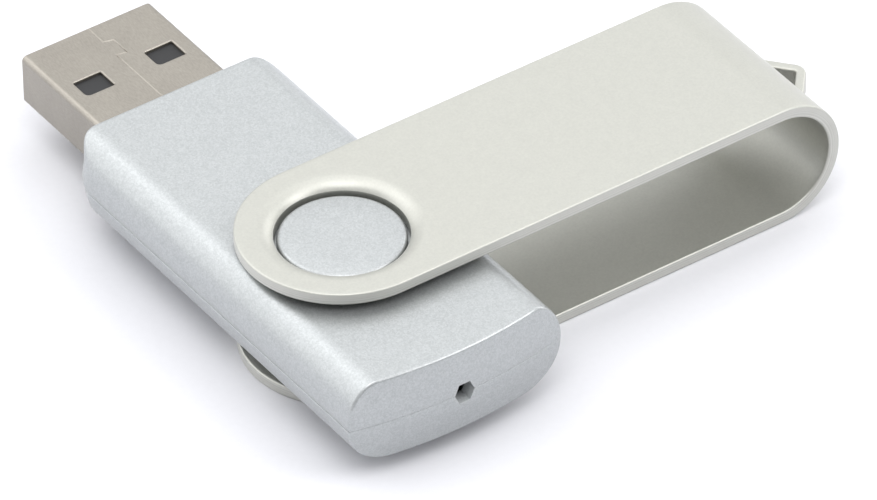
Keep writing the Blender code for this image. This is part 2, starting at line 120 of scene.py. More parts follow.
# Flash chip, controller chip and voltage regulator: black epoxy moulded round the silicon.
# The two chips stand on rows of tinned gull-wing leads that are soldered to the board.

LEAD_REACH = 0.8
MOULD_SLACK = 0.02
DIMPLE_R = 0.35
DIMPLE_IN = 1.1
EPOXY_GRAIN = 0.12
GRAIN_RELIEF = 0.15
EPOXY_BLACK = "#232326"
EPOXY_GREY = "#303035"
TIN = "#b9bcbd"

# Filled epoxy is matt with a fine grain, drawn a little coarse, and a dimple marks one corner.
# The tinned leads outside the moulding are bright
for chip, lead_x, lead_y in (("flash_chip", 1, 0), ("controller_chip", 1, 1), ("regulator", 0, 0)):
    low, high = (np.array(corner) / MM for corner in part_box(chip))
    body = (high - low) / 2 - LEAD_REACH * np.array([lead_x, lead_y, 0]) + MOULD_SLACK
    epoxy, tree, shader, mm = finish("moulded_epoxy_" + chip, {"IOR": 1.5})
    off = add(tree, "ShaderNodeVectorMath", {0: mm, 1: (low + high) / 2}, operation="SUBTRACT")["Vector"]
    away = add(tree, "ShaderNodeVectorMath", {0: off}, operation="ABSOLUTE")["Vector"]
    span = add(tree, "ShaderNodeSeparateXYZ", {0: away})
    past_x = add(tree, "ShaderNodeMath", {0: span["X"], 1: body[0]}, operation="GREATER_THAN")["Value"]
    past_y = add(tree, "ShaderNodeMath", {0: span["Y"], 1: body[1]}, operation="GREATER_THAN")["Value"]
    lead = add(tree, "ShaderNodeMath", {0: past_x, 1: past_y}, operation="MAXIMUM")["Value"]
    grain = add(tree, "ShaderNodeTexNoise", {"Vector": mm, "Scale": 1 / EPOXY_GRAIN, "Detail": 2.0})["Fac"]
    black = add(tree, "ShaderNodeMix", {0: grain, 6: linear(EPOXY_BLACK), 7: linear(EPOXY_GREY)},
                data_type="RGBA")[2]
    colour = add(tree, "ShaderNodeMix", {0: lead, 6: black, 7: linear(TIN)}, data_type="RGBA")[2]
    corner = (DIMPLE_IN - body[0], DIMPLE_IN - body[1], 0.0)
    flat = add(tree, "ShaderNodeVectorMath", {0: off, 1: (1, 1, 0)}, operation="MULTIPLY")["Vector"]
    gone = add(tree, "ShaderNodeVectorMath", {0: flat, 1: corner}, operation="DISTANCE")["Value"]
    dimple = add(tree, "ShaderNodeMath", {0: gone, 1: DIMPLE_R}, operation="GREATER_THAN")["Value"]
    relief = add(tree, "ShaderNodeMath", {0: grain, 1: GRAIN_RELIEF, 2: dimple},
                 operation="MULTIPLY_ADD")["Value"]
    bump = add(tree, "ShaderNodeBump", {"Strength": 0.3, "Distance": 0.00003, "Height": relief})["Normal"]
    rough = add(tree, "ShaderNodeMapRange", {"Value": lead, "To Min": 0.58, "To Max": 0.3})["Result"]
    wire(tree, shader, {"Base Color": colour, "Metallic": lead, "Roughness": rough, "Normal": bump})
    dress(chip, epoxy)


# Crystal, status lamp, capacitors and resistors: small parts soldered flat on the board.
# The crystal is in a drawn steel can, the lamp in clear resin, the rest are ceramic with tinned ends.

END_CAP = 0.32
CAN_GRAIN = 0.25
CAN_STRETCH = 0.2
RESIN_CLOUD = 0.6
CERAMIC_SPECK = 0.15
CAN_STEEL = ("#b3b2ad", "#c9c8c4")
LAMP_RESIN = ("#dfe3e4", "#f1f3f2")
PASSIVES = (("capacitor", 5, "#a98661", "#bd9c78"), ("resistor", 4, "#26262b", "#35353b"))

# Drawing leaves fine streaks along the can
can, tree, shader, mm = finish("drawn_steel_can", {"Metallic": 1.0})
drawn = add(tree, "ShaderNodeMapping", {"Vector": mm, "Scale": (CAN_STRETCH, 1.0, 1.0)})["Vector"]
streak = add(tree, "ShaderNodeTexNoise", {"Vector": drawn, "Scale": 1 / CAN_GRAIN, "Detail": 3.0})["Fac"]
steel = add(tree, "ShaderNodeMix", {0: streak, 6: linear(CAN_STEEL[0]), 7: linear(CAN_STEEL[1])},
            data_type="RGBA")[2]
rough = add(tree, "ShaderNodeMapRange", {"Value": streak, "To Min": 0.22, "To Max": 0.4})["Result"]
wire(tree, shader, {"Base Color": steel, "Roughness": rough})
dress("crystal", can)

# Cast resin is clear with a slight cloud in it
lens, tree, shader, mm = finish("cast_clear_resin", {
    "Roughness": 0.2, "Transmission Weight": 0.35, "IOR": 1.5})
cloud = add(tree, "ShaderNodeTexNoise", {"Vector": mm, "Scale": 1 / RESIN_CLOUD, "Detail": 2.0})["Fac"]
milk = add(tree, "ShaderNodeMix", {0: cloud, 6: linear(LAMP_RESIN[0]), 7: linear(LAMP_RESIN[1])},
           data_type="RGBA")[2]
wire(tree, shader, {"Base Color": milk})
dress("status_lamp", lens)

# Fired ceramic is matt with a fine speckle, drawn a little coarse, and its dipped ends are bright tin
for kind, count, dark, pale in PASSIVES:
    for number in range(1, count + 1):
        name = kind + "_" + str(number)
        low, high = (np.array(corner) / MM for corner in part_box(name))
        ceramic, tree, shader, mm = finish("fired_ceramic_" + name, {"IOR": 1.6})
        off = add(tree, "ShaderNodeVectorMath", {0: mm, 1: (low + high) / 2}, operation="SUBTRACT")["Vector"]
        span = add(tree, "ShaderNodeSeparateXYZ", {0: off})["X"]
        away = add(tree, "ShaderNodeMath", {0: span}, operation="ABSOLUTE")["Value"]
        inner = (high - low)[0] / 2 - END_CAP
        cap = add(tree, "ShaderNodeMath", {0: away, 1: inner}, operation="GREATER_THAN")["Value"]
        speck = add(tree, "ShaderNodeTexNoise", {
            "Vector": mm, "Scale": 1 / CERAMIC_SPECK, "Detail": 2.0})["Fac"]
        fired = add(tree, "ShaderNodeMix", {0: speck, 6: linear(dark), 7: linear(pale)}, data_type="RGBA")[2]
        colour = add(tree, "ShaderNodeMix", {0: cap, 6: fired, 7: linear(TIN)}, data_type="RGBA")[2]
        rough = add(tree, "ShaderNodeMapRange", {"Value": cap, "To Min": 0.55, "To Max": 0.32})["Result"]
        wire(tree, shader, {"Base Color": colour, "Metallic": cap, "Roughness": rough})
        dress(name, ceramic)


# Plug contacts: four strips of phosphor bronze, stamped and plated with gold.
# They lie under the tongue of the insulator and are soldered to the board behind it.

CONTACTS = 4
ROLL_GRAIN = 0.08
ROLL_STRETCH = 0.06
GOLD = ("#c79a48", "#dcb765")

# Rolling leaves faint lines along the strip, and the plating is smooth and warm
gold, tree, shader, mm = finish("gold_plated_bronze", {"Metallic": 1.0})
rolled = add(tree, "ShaderNodeMapping", {"Vector": mm, "Scale": (ROLL_STRETCH, 1.0, 1.0)})["Vector"]
line = add(tree, "ShaderNodeTexNoise", {"Vector": rolled, "Scale": 1 / ROLL_GRAIN, "Detail": 2.0})["Fac"]
plate = add(tree, "ShaderNodeMix", {0: line, 6: linear(GOLD[0]), 7: linear(GOLD[1])}, data_type="RGBA")[2]
rough = add(tree, "ShaderNodeMapRange", {"Value": line, "To Min": 0.18, "To Max": 0.34})["Result"]
wire(tree, shader, {"Base Color": plate, "Roughness": rough})
for number in range(1, CONTACTS + 1):
    dress("contact_" + str(number), gold)


# Plug insulator: black polyester filled with glass fibre, moulded in one piece.
# It is pushed into the plug shell and shows through the latch windows.

FIBRE = 0.25
FIBRE_STRETCH = 0.5
POLYESTER = ("#1c1d1f", "#29292b")

# The fibres give the moulded face a fine grey mottle
polyester, tree, shader, mm = finish("glass_filled_polyester", {"IOR": 1.5})
lay = add(tree, "ShaderNodeMapping", {"Vector": mm, "Scale": (FIBRE_STRETCH, 1.0, 1.0)})["Vector"]
fibre = add(tree, "ShaderNodeTexNoise", {"Vector": lay, "Scale": 1 / FIBRE, "Detail": 4.0})["Fac"]
colour = add(tree, "ShaderNodeMix", {0: fibre, 6: linear(POLYESTER[0]), 7: linear(POLYESTER[1])},
             data_type="RGBA")[2]
rough = add(tree, "ShaderNodeMapRange", {"Value": fibre, "To Min": 0.5, "To Max": 0.7})["Result"]
bump = add(tree, "ShaderNodeBump", {"Strength": 0.15, "Distance": 0.00002, "Height": fibre})["Normal"]
wire(tree, shader, {"Base Color": colour, "Roughness": rough, "Normal": bump})
dress("plug_insulator", polyester)


# Plug shell: steel strip 0.3 mm thick, stamped with its windows, folded to a tube and nickel plated.
# The two edges of the strip lock in a dovetail on the upper face, and the tube is held in the housing.

# Points nearer than WELD are one, edges shorter than SLIVER are dropped (both in metres),
# and edges that turn more than SHARP_EDGE are shaded sharp
WELD = 2e-7
SLIVER = 1e-8
SHARP_EDGE = math.radians(32)
PIVOT = np.array(frame["joints"][0]["pos_m"]) * (1, 1, 0)
MID = frame["joints"][0]["pos_m"][2] / MM


def skin(name, *patches):
    """One mesh welded from grids of points, in millimetres from the foot of the pivot axis."""
    points = []
    faces = []
    start = 0
    for grid in patches:
        rows, columns = grid.shape[:2]
        index = start + np.arange(rows * columns).reshape(rows, columns)
        quads = [index[:-1, :-1], index[:-1, 1:], index[1:, 1:], index[1:, :-1]]
        faces += np.stack(quads, -1).reshape(-1, 4).tolist()
        points += (grid.reshape(-1, 3) * MM + PIVOT).tolist()
        start += rows * columns
    mesh = bpy.data.meshes.new(name)
    mesh.from_pydata(points, [], faces)
    bm = bmesh.new()
    bm.from_mesh(mesh)
    bmesh.ops.remove_doubles(bm, verts=bm.verts, dist=WELD)
    bmesh.ops.dissolve_degenerate(bm, edges=bm.edges, dist=SLIVER)
    bmesh.ops.recalc_face_normals(bm, faces=bm.faces)
    bm.to_mesh(mesh)
    bm.free()
    piece = bpy.data.objects.new(name, mesh)
    bpy.context.scene.collection.objects.link(piece)
    return piece


def bar(name, rings):
    """Closed bar through rings of points, with both of its ends filled."""
    rings = np.asarray(rings, float)
    ends = [np.broadcast_to(r[:-1].mean(0), r.shape) for r in (rings[0], rings[-1])]
    return skin(name, np.stack([ends[0], *rings, ends[1]]))


def arc(centre_u, centre_v, radius, start, end, steps):
    """Points along part of a circle, with its angles in degrees."""
    turn = np.radians(np.linspace(start, end, steps + 1))
    return np.stack([centre_u + radius * np.cos(turn), centre_v + radius * np.sin(turn)], -1)


def rounded(half_u, half_v, radii, steps):
    """Closed outline of a box, with one radius for each corner."""
    corners = ((1, 1, 0), (-1, 1, 90), (-1, -1, 180), (1, -1, 270))
    out = [arc(u * (half_u - r), v * (half_v - r), r, start, start + 90, steps)
           for (u, v, start), r in zip(corners, radii)]
    return np.concatenate(out + [out[0][:1]])


def carve(piece, tool, operation):
    """Cuts a tool out of a piece, or joins it on, for good, and drops points that only split an edge."""
    change = piece.modifiers.new(operation, "BOOLEAN")
    change.operation = operation
    change.solver = "EXACT"
    change.object = tool
    bpy.context.view_layer.update()
    seen = piece.evaluated_get(bpy.context.evaluated_depsgraph_get())
    done = bpy.data.meshes.new_from_object(seen)
    piece.modifiers.clear()
    piece.data = done
    bm = bmesh.new()
    bm.from_mesh(done)
    bmesh.ops.dissolve_verts(bm, verts=[v for v in bm.verts if len(v.link_edges) == 2])
    bm.to_mesh(done)
    bm.free()
    bpy.data.objects.remove(tool, do_unlink=True)


def fit(piece, made, body, node):
    """Shades a finished piece and puts it on its body in place of its frame node."""
    piece.data.shade_smooth()
    piece.data.set_sharp_from_angle(angle=SHARP_EDGE)
    even = piece.modifiers.new("even_normals", "WEIGHTED_NORMAL")
    even.keep_sharp = True
    even.weight = 100
    piece.data.materials.clear()
    piece.data.materials.append(made)
    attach(piece, body)
    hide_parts(node)


PLUG_W = 12.0
PLUG_H = 4.5
PLUG_TIP = -35.3
PLUG_BACK = -16.4
PLUG_SHEET = 0.3
PLUG_CORNER = 0.45
PLUG_RIM = 0.09
WINDOW_W = 2.5
WINDOW_L = 2.0
WINDOW_AT = 5.1
WINDOW_PITCH = 6.6
WINDOW_R = (0.1, 0.1, 0.1, 0.38)
WINDOW_ROLL = 0.15
WINDOW_PAST = 0.6
SEAM_W = 0.13
SEAM_DEPTH = 0.085
# Points of the seam: distance from the tip, place across the face, and how far the groove's bottom leans
SEAM = ((-0.6, 0.15, -0.35), (2.15, 0.15, -0.35), (2.4, 0.98, -0.35), (3.6, 0.98, -0.35), (4.3, 0.98, 0.35),
        (4.12, 0.1, 0.35), (4.9, 0.1, -0.35), (13.5, 0.1, -0.35))
TAB_END = PLUG_BACK + 2.2
TAB_LAP = 0.5
TAB_EDGE = 0.02
TAB_LOW = MID - 1.25
TAB_HIGH = MID + 0.35
NICKEL = ("#8d8881", "#aba69d")
BRUSH = 0.08
BRUSH_RUN = 0.35
STAIN = 3.0
STAIN_SHARE = 0.5

rim_out = arc(PLUG_TIP + PLUG_RIM, PLUG_RIM, PLUG_RIM, 270, 180, steps=5)
rim_in = arc(PLUG_TIP + PLUG_RIM, PLUG_SHEET - PLUG_RIM, PLUG_RIM, 180, 90, steps=5)
wall = np.concatenate([[(PLUG_BACK, 0)], rim_out, rim_in, [(PLUG_BACK, PLUG_SHEET), (PLUG_BACK, 0)]])
rows = []
for x, inset in wall:
    ring = rounded(PLUG_W / 2 - inset, PLUG_H / 2 - inset, [PLUG_CORNER - inset] * 4, steps=8)
    rows.append(np.column_stack([np.full(len(ring), x), ring[:, 0], ring[:, 1] + MID]))
plug = skin("plug_sleeve", np.stack(rows))
window_roll = arc(WINDOW_ROLL, -WINDOW_ROLL, WINDOW_ROLL, 180, 90, steps=4)
window_side = [(0, -WINDOW_PAST), *window_roll, (WINDOW_ROLL, WINDOW_PAST)]
for sign in (-1, 1):
    for y in (-WINDOW_PITCH / 2, WINDOW_PITCH / 2):
        walls = []
        for wider, z in window_side:
            ring = rounded(WINDOW_L / 2 + wider, WINDOW_W / 2 + wider, np.array(WINDOW_R) + wider, steps=6)
            ring += (PLUG_TIP + WINDOW_AT + WINDOW_L / 2, y)
            walls.append(np.column_stack([ring, np.full(len(ring), MID + sign * (PLUG_H / 2 + z))]))
        carve(plug, bar("window", walls), "DIFFERENCE")

# The seam is a vee cut along its points and mitred at each corner, with its bottom off to one side.
# Its walls run on past the face, and it is SEAM_W wide at the face
seam_line = np.array(SEAM)[:, :2] + (PLUG_TIP, 0)
along = np.diff(seam_line, axis=0)
along /= np.linalg.norm(along, axis=1)[:, None]
square = np.stack([-along[:, 1], along[:, 0]], -1)
mitre = np.concatenate([square[:1], square[:-1] + square[1:], square[-1:]])
mitre /= (mitre * np.concatenate([square[:1], square])).sum(1)[:, None]
top = MID + PLUG_H / 2
rows = []
for spot, out, (_, _, low) in zip(seam_line, mitre, SEAM):
    vee = ((-1.5 - 2 * low, 2), (1.5 - 2 * low, 2), (low, -1), (-1.5 - 2 * low, 2))
    rows.append([(*(spot + out * SEAM_W * u), top + SEAM_DEPTH * v) for u, v in vee])
carve(plug, bar("seam", rows), "DIFFERENCE")

# Two solder tabs at the back, one on each side of the board's neck
for sign in (-1, 1):
    y = sign * (PLUG_W - PLUG_SHEET) / 2
    ring = rounded(PLUG_SHEET / 2, (TAB_HIGH - TAB_LOW) / 2, [TAB_EDGE] * 4, steps=2)
    ring += (y, (TAB_LOW + TAB_HIGH) / 2)
    tab = [np.column_stack([np.full(len(ring), x), ring]) for x in (PLUG_BACK - TAB_LAP, TAB_END)]
    carve(plug, bar("tab", tab), "UNION")

# Rolled strip keeps a short grain under the plating, drawn coarser than it is so that it shows,
# with a faint warm stain
nickel, tree, shader, mm = finish("nickel_plated_steel", {"Metallic": 1.0})
run = add(tree, "ShaderNodeMapping", {"Vector": mm, "Scale": (BRUSH / BRUSH_RUN, 1.0, 1.0)})["Vector"]
brush = add(tree, "ShaderNodeTexNoise", {"Vector": run, "Scale": 1 / BRUSH, "Detail": 3.0})["Fac"]
stain = add(tree, "ShaderNodeTexNoise", {
    "Vector": mm, "Scale": 1 / STAIN, "Detail": 5.0, "Roughness": 0.6})["Fac"]
tone = add(tree, "ShaderNodeMath", {0: stain, 1: STAIN_SHARE, 2: brush}, operation="MULTIPLY_ADD")["Value"]
share = add(tree, "ShaderNodeMapRange", {"Value": tone, "From Min": 0.3, "From Max": 1.2})["Result"]
colour = add(tree, "ShaderNodeMix", {0: share, 6: linear(NICKEL[0]), 7: linear(NICKEL[1])},
             data_type="RGBA")[2]
rough = add(tree, "ShaderNodeMapRange", {"Value": brush, "To Min": 0.28, "To Max": 0.42})["Result"]
bump = add(tree, "ShaderNodeBump", {"Strength": 0.25, "Distance": 0.00002, "Height": brush})["Normal"]
wire(tree, shader, {"Base Color": colour, "Roughness": rough, "Normal": bump})
fit(plug, nickel, "housing", "plug_shell")


# Lower and upper shell: moulded ABS with a barrel section, sprayed with silver metallic lacquer.
# They snap together half way up, hold the plug and the board, and each carries a pivot button.

HALF_W = 9.7
HALF_H = 3.8
FRONT_X = -23.4
TAIL_X = 16.1
WALL = 1.2
# Quarter ellipse of each shell's side: how far it runs in from the side, and down from the crown
TOP_SIDE = (2.7, 3.6)
BASE_SIDE = (3.8, 3.8)
NOSE_R = 3.5
NOSE_EDGE_R = 0.45
TAIL_PLAN_R = 40.0
TAIL_SIDE_R = 15.0
TAIL_EDGE_R = 0.22
# Edge round and half gap of the parting line, along the sides and across the tail
PART_EDGE = (0.08, 0.03)
PART_GAP = (0.03, 0.005)
PART_STEPS = 4
TAIL_SPREAD = 0.66
BUTTON_R = 4.98
BUTTON_RISE = 0.85
BUTTON_EDGE = 0.36
BUTTON_ROOT = 0.5
BUTTON_SIDES = 120
MOUTH_GAP = 0.1
MOUTH_DEEP = 2.0
HEX_W = 1.8
HEX_H = 1.74
HEX_FLAT = 1.0
HEX_DEEP = 3.0
CUT_PAST = 1.0
MATT_IN = 1.0
MATT_REACH = (1.38, 1.42)
SILVER = ("#a5a8a9", "#b8bbbc")
FLAKE = 0.11
FLAKE_TILT = 0.035
MOTTLE = 0.8
MOTTLE_SHARE = 0.5
# Search for the skin: how far out, by how many halvings, at how many leans and smoothed over how many
FAR_OUT = 30.0
HALVINGS = 32
LEAN_STEPS = 1000
LEAN_BLUR = 9
SIDE_RAYS = 26
# Rays of a quarter turn at each end: start, end and count of each stretch, in degrees
FRONT_FAN = ((0, 33, 10), (33, 57, 48), (57, 90, 10))
TAIL_FAN = ((0, 33, 12), (33, 47, 56), (47, 50, 30), (50, 90, 14))


def meet(a, b, radius):
    """Field of what is inside two others, with a round edge where they meet."""
    over = np.hypot(np.maximum(a + radius, 0), np.maximum(b + radius, 0))
    return np.minimum(np.maximum(a, b), -radius) + over


def housing(x, y, z, side):
    """Distance outside a shell's half of the housing, negative inside it, with z from the parting line."""
    out = np.maximum(np.abs(y) - HALF_W + side[0], 0) / side[0]
    up = np.maximum(z - HALF_H + side[1], 0) / side[1]
    barrel = (np.hypot(out, up) - 1) * side[1]
    bow = np.hypot(x - TAIL_X + TAIL_PLAN_R, y) - TAIL_PLAN_R + z * z / (2 * TAIL_SIDE_R)
    rise = np.clip(z / HALF_H, 0, 1) ** 2
    nose_r = NOSE_R + (NOSE_EDGE_R - NOSE_R) * rise * rise * (3 - 2 * rise)
    return meet(np.maximum(FRONT_X - x, bow), barrel, np.where(x < 0, nose_r, TAIL_EDGE_R))


# The skin is found along rays from the long axis: the foot of each and its way in plan.
# They stand closest together where the plan turns its corners
front_foot = FRONT_X + HALF_W
tail_foot = TAIL_X - HALF_W
front_fan, tail_fan = (
    np.concatenate([np.linspace(start, end, count, endpoint=False) for start, end, count in stretches])
    for stretches in (FRONT_FAN, TAIL_FAN))
side_feet = np.linspace(tail_foot, front_foot, SIDE_RAYS)
square_out = np.full(SIDE_RAYS, 90)
ways = np.radians(np.concatenate([
    tail_fan, square_out, 180 - front_fan[:0:-1], 180 + front_fan, square_out + 180,
    360 - tail_fan[:0:-1], [360]]))
feet = np.concatenate([
    np.full(len(tail_fan), tail_foot), side_feet, np.full(2 * len(front_fan) - 1, front_foot),
    side_feet[::-1], np.full(len(tail_fan), tail_foot)])


def surface(lean, level, side):
    """Where the rays, leaning up, cross one level of the field: run out and height, found by halving."""
    near = np.zeros(np.broadcast(feet, lean).shape)
    far = near + FAR_OUT
    for _ in range(HALVINGS):
        reach = (near + far) / 2
        flat = reach * np.cos(lean)
        x = feet + flat * np.cos(ways)
        inside = housing(x, flat * np.sin(ways), reach * np.sin(lean), side) < level
        near = np.where(inside, reach, near)
        far = np.where(inside, far, reach)
    return near * np.cos(lean), near * np.sin(lean)


def skin_rows(level, low, side, count, crowd):
    """Rows of points from the crown of a shell down to a height, crowded where the surface turns."""
    flat, _ = surface(np.zeros(len(ways)), level, side)
    first = np.arctan2(low, flat)
    lean = first + (math.pi / 2 - first) * np.linspace(0, 1, LEAN_STEPS)[:, None]
    out, up = surface(lean, level, side)
    step_out = np.diff(out, axis=0)
    step_up = np.maximum(np.diff(up, axis=0), 0)
    heading = np.arctan2(step_up, step_out)
    turn = np.abs(np.diff(heading, axis=0, append=heading[-1:]))
    weight = np.hypot(step_out, step_up) + crowd * turn
    ahead = LEAN_BLUR // 2
    summed = np.pad(weight, ((LEAN_BLUR - ahead, ahead), (0, 0)), mode="edge").cumsum(axis=0)
    total = np.pad((summed[LEAN_BLUR:] - summed[:-LEAN_BLUR]).cumsum(axis=0), ((1, 0), (0, 0)))
    want = np.linspace(1, 0, count)
    lean = np.stack([np.interp(want, run / run[-1], angle) for run, angle in zip(total.T, lean.T)], -1)
    out, up = surface(lean, level, side)
    return np.stack([feet + out * np.cos(ways), out * np.sin(ways), up], -1)


# The parting line is open along the sides and nearly closed across the tail, which takes the rays
# whose cosine is over TAIL_SPREAD
on_tail = (feet == tail_foot) & (np.cos(ways) > TAIL_SPREAD)
part_edge = np.where(on_tail, PART_EDGE[1], PART_EDGE[0])
part_gap = np.where(on_tail, PART_GAP[1], PART_GAP[0])
inward = np.stack([-np.cos(ways), -np.sin(ways), np.zeros(len(ways))], -1)

# The lacquer holds aluminium flakes that lie at random, drawn coarse enough to show, under a satin clear coat
lacquer, tree, shader, mm = finish("silver_lacquer_on_abs", {"Coat Weight": 0.15, "Coat Roughness": 0.35})
flake = add(tree, "ShaderNodeTexVoronoi", {"Vector": mm, "Scale": 1 / FLAKE})["Color"]
glint = add(tree, "ShaderNodeSeparateColor", {0: flake})
cloud = add(tree, "ShaderNodeTexNoise", {"Vector": mm, "Scale": 1 / MOTTLE, "Detail": 4.0})["Fac"]
tone = add(tree, "ShaderNodeMath", {0: cloud, 1: MOTTLE_SHARE, 2: glint["Red"]},
           operation="MULTIPLY_ADD")["Value"]
share = add(tree, "ShaderNodeMapRange", {"Value": tone, "From Min": 0.1, "From Max": 1.4})["Result"]
colour = add(tree, "ShaderNodeMix", {0: share, 6: linear(SILVER[0]), 7: linear(SILVER[1])},
             data_type="RGBA")[2]
rough = add(tree, "ShaderNodeMapRange", {"Value": glint["Green"], "To Min": 0.3, "To Max": 0.42})["Result"]
lie = add(tree, "ShaderNodeVectorMath", {0: flake, 1: (0.5, 0.5, 0.5)}, operation="SUBTRACT")["Vector"]
smooth = add(tree, "ShaderNodeNewGeometry", {})["Normal"]
tilt = add(tree, "ShaderNodeVectorMath", {0: lie, 1: (FLAKE_TILT,) * 3, 2: smooth},
           operation="MULTIPLY_ADD")["Vector"]
tilt = add(tree, "ShaderNodeVectorMath", {0: tilt}, operation="NORMALIZE")["Vector"]

# Hardly any lacquer reaches the walls of the lamp hole, so they stay matt round a point inside it
inside_hole = (PIVOT / MM + (TAIL_X - MATT_IN, 0, MID)).tolist()
away = add(tree, "ShaderNodeVectorMath", {0: mm, 1: inside_hole}, operation="DISTANCE")["Value"]
shine = add(tree, "ShaderNodeMapRange", {
    "Value": away, "From Min": MATT_REACH[0], "From Max": MATT_REACH[1], "To Min": 0.0,
    "To Max": 0.7})["Result"]
wire(tree, shader, {"Base Color": colour, "Metallic": shine, "Roughness": rough, "Normal": tilt})

# Each shell gets its half of the plug's mouth and of the lamp hole, and its button
hexagon = np.array([(HEX_W / 2, 0), (HEX_FLAT / 2, HEX_H / 2), (-HEX_FLAT / 2, HEX_H / 2)])
hexagon = np.concatenate([hexagon, -hexagon, hexagon[:1]])
mouth = rounded(PLUG_W / 2 + MOUTH_GAP, PLUG_H / 2 + MOUTH_GAP, [PLUG_CORNER] * 4, steps=6)
crown = HALF_H + BUTTON_RISE
root = HALF_H - BUTTON_ROOT
button_edge = arc(BUTTON_R - BUTTON_EDGE, crown - BUTTON_EDGE, BUTTON_EDGE, 90, 0, steps=6)
button_side = np.concatenate([
    [(0, crown), (BUTTON_R / 2, crown)], button_edge, [(BUTTON_R, root), (0, root)]])
round_way = np.linspace(0, math.tau, BUTTON_SIDES + 1)
circle = np.stack([np.cos(round_way), np.sin(round_way), 0 * round_way], -1)
for name, sign, node, side in (("housing_base", -1, "lower_shell", BASE_SIDE),
                               ("housing_top", 1, "upper_shell", TOP_SIDE)):
    outer = skin_rows(0.0, part_edge, side, count=64, crowd=8.0)
    inner = skin_rows(-WALL, part_gap, side, count=18, crowd=4.0)
    outer[0, :, 2] = HALF_H
    inner[0, :, 2] = HALF_H - WALL
    parting = []
    for turn in np.radians(np.linspace(0, 90, PART_STEPS + 1)[1:]):
        row = outer[-1] + inward * part_edge[:, None] * (1 - math.cos(turn))
        row[:, 2] = part_gap + (part_edge - part_gap) * (1 - math.sin(turn))
        parting.append(row)
    shell = skin(name, np.concatenate([outer, parting, inner[::-1]]) * (1, 1, sign) + (0, 0, MID))
    rows = [circle * r + (0, 0, MID + sign * z) for r, z in button_side]
    carve(shell, skin("button", np.stack(rows)), "UNION")
    for hole, outline, start, end in (("mouth", mouth, FRONT_X - CUT_PAST, FRONT_X + MOUTH_DEEP),
                                      ("lamp_hole", hexagon, TAIL_X - HEX_DEEP, TAIL_X + CUT_PAST)):
        rows = [np.column_stack([np.full(len(outline), x), outline + (0, MID)]) for x in (start, end)]
        carve(shell, bar(hole, rows), "DIFFERENCE")
    fit(shell, lacquer, "housing", node)


# Swivel cover: a strip of aluminium sheet 1 mm thick, blanked, bent to a U and satin anodised.
# The drawn collars of its two holes turn on the pivot buttons, and the lanyard eye is lanced from its bend.

SHEET = 1.0
COVER_W = 16.4
BEND_MID = MID - SHEET / 2
COVER_REACH = 40.6
BEND_START = COVER_REACH - MID
STRIP = 2 * BEND_START + math.pi * BEND_MID
SHEET_EDGE = 0.17
HOLE_R = 5.22
LIP_R = 1.5
LIP_DROP = 0.66
COLLAR_DROP = 0.57
COLLAR_WALL = 0.65
COLLAR_FLARE = 0.3
COLLAR_RIM = 0.1
EYE_TIP = 43.15
EYE_BAND = 2.0
EYE_THICK = 0.8
EYE_LEAN = math.radians(50)
EYE_ROUND = 0.3
EYE_KERF = 0.2
EYE_ROOT = 0.6
EYE_SLOT_IN = 0.9
EYE_SLOT_R = 0.15
# Rays round each hole, and steps of the mesh on the wheels, the arms, the bend and the rolled edge
RAYS = 128
WHEEL_STEPS = 6
ARM_STEPS = 9
BEND_STEPS = 64
EDGE_STEPS = 6
ALUMINIUM = ("#b6b6b0", "#c2c2bb")
BLAST = 0.18
CLOUD = 1.2
CLOUD_SHARE = 0.3
SHEAR = 0.11
SHEARED = ("#b8b8b3", "#dededa")
UPRIGHT = (0.5, 0.1)
SIDEWAYS = (0.8, 1.0)
COLLAR_REACH = (7.0, 7.2)
NO_LIMIT = -99.0


def bend(across, along, off):
    """Place on the bent cover of a point of the flat strip, with its height off the sheet's middle."""
    turned = np.clip((along - BEND_START) / BEND_MID, 0, math.pi)
    over = np.maximum(along - BEND_START - math.pi * BEND_MID, 0)
    y = np.minimum(along, BEND_START) + (BEND_MID + off) * np.sin(turned) - over
    z = MID + (BEND_MID + off) * np.cos(turned)
    return np.stack(np.broadcast_arrays(across, y, z), -1)


# The flat strip, u across it and s along it: a wheel of rays round each hole, and straight columns
# between the two wheels
half = COVER_W / 2 - SHEET_EDGE
ray = np.linspace(-math.pi, math.pi, RAYS + 1)
open_side = np.maximum(np.abs(np.sin(ray)), np.cos(ray))
reach = half / np.where(np.cos(ray) > 0, open_side, 1)
sweep = math.acos(1 - LIP_DROP / LIP_R)
lip_start = HOLE_R + LIP_R * math.sin(sweep)
flare_end = HOLE_R + COLLAR_WALL + COLLAR_FLARE
columns = half * np.tan(np.linspace(-math.pi / 4, math.pi / 4, RAYS // 4 + 1))
straight = np.linspace(half, BEND_START, ARM_STEPS + 1)
round_bend = np.linspace(BEND_START, STRIP - BEND_START, BEND_STEPS + 1)
stations = np.concatenate([straight, round_bend[1:-1], STRIP - straight[::-1]])
part_way = np.linspace(0, 1, WHEEL_STEPS + 1)[:, None]
holes = ((0, 1), (STRIP, -1))
patches = []
for height, hole_r in ((SHEET / 2, lip_start), (-SHEET / 2, flare_end)):
    radius = hole_r + part_way * (reach - hole_r)
    for home, way in holes:
        patches.append(bend(radius * np.sin(ray), home + way * radius * np.cos(ray), height))
    patches.append(bend(columns[None, :], stations[:, None], height))

